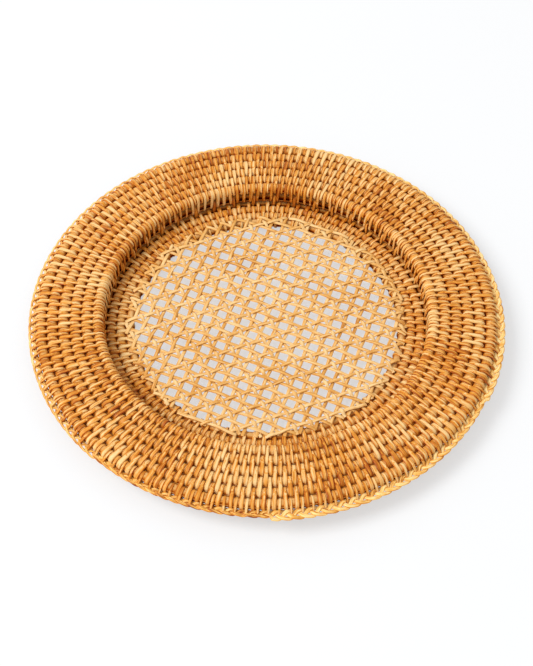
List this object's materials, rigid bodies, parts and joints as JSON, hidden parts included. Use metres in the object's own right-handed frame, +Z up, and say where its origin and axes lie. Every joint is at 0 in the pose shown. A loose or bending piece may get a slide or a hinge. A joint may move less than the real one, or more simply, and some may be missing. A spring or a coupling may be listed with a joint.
{
  "type": "charger plate",
  "caption": "Round rattan charger plate: rod hoops lashed with split cane form a flat base, a short wall and a wide rim, round an open cane lattice, with a plaited edge.",
  "frame": {"origin": "on the table under the middle of the plate", "axes": "+Z up out of the well, +X to the right and +Y away from the viewer in the picture"},
  "size_m": [0.3304, 0.3304, 0.0224],
  "materials": {
    "rattan_rod": "matte",
    "lashing_cane": "satin",
    "lattice_cane": "satin",
    "plait_cane": "satin"
  },
  "bodies": {
    "root": {"lattice_long": "lattice_cane", "lattice_cross": "lattice_cane", "lattice_falling": "lattice_cane", "lattice_rising": "lattice_cane", "base_hoop_1": "rattan_rod", "base_hoop_2": "rattan_rod", "base_hoop_3": "rattan_rod", "base_hoop_4": "rattan_rod", "wall_hoop": "rattan_rod", "rim_hoop_1": "rattan_rod", "rim_hoop_2": "rattan_rod", "rim_hoop_3": "rattan_rod", "rim_hoop_4": "rattan_rod", "rim_hoop_5": "rattan_rod", "rim_hoop_6": "rattan_rod", "base_lashing_1": "lashing_cane", "base_lashing_2": "lashing_cane", "base_lashing_3": "lashing_cane", "wall_ties": "lashing_cane", "wall_lashing": "lashing_cane", "rim_lashing_1": "lashing_cane", "rim_lashing_2": "lashing_cane", "rim_lashing_3": "lashing_cane", "rim_lashing_4": "lashing_cane", "rim_lashing_5": "lashing_cane", "edge_lashing": "lashing_cane", "edge_plait_1": "plait_cane", "edge_plait_2": "plait_cane", "edge_plait_3": "plait_cane"}
  },
  "joints": []
}
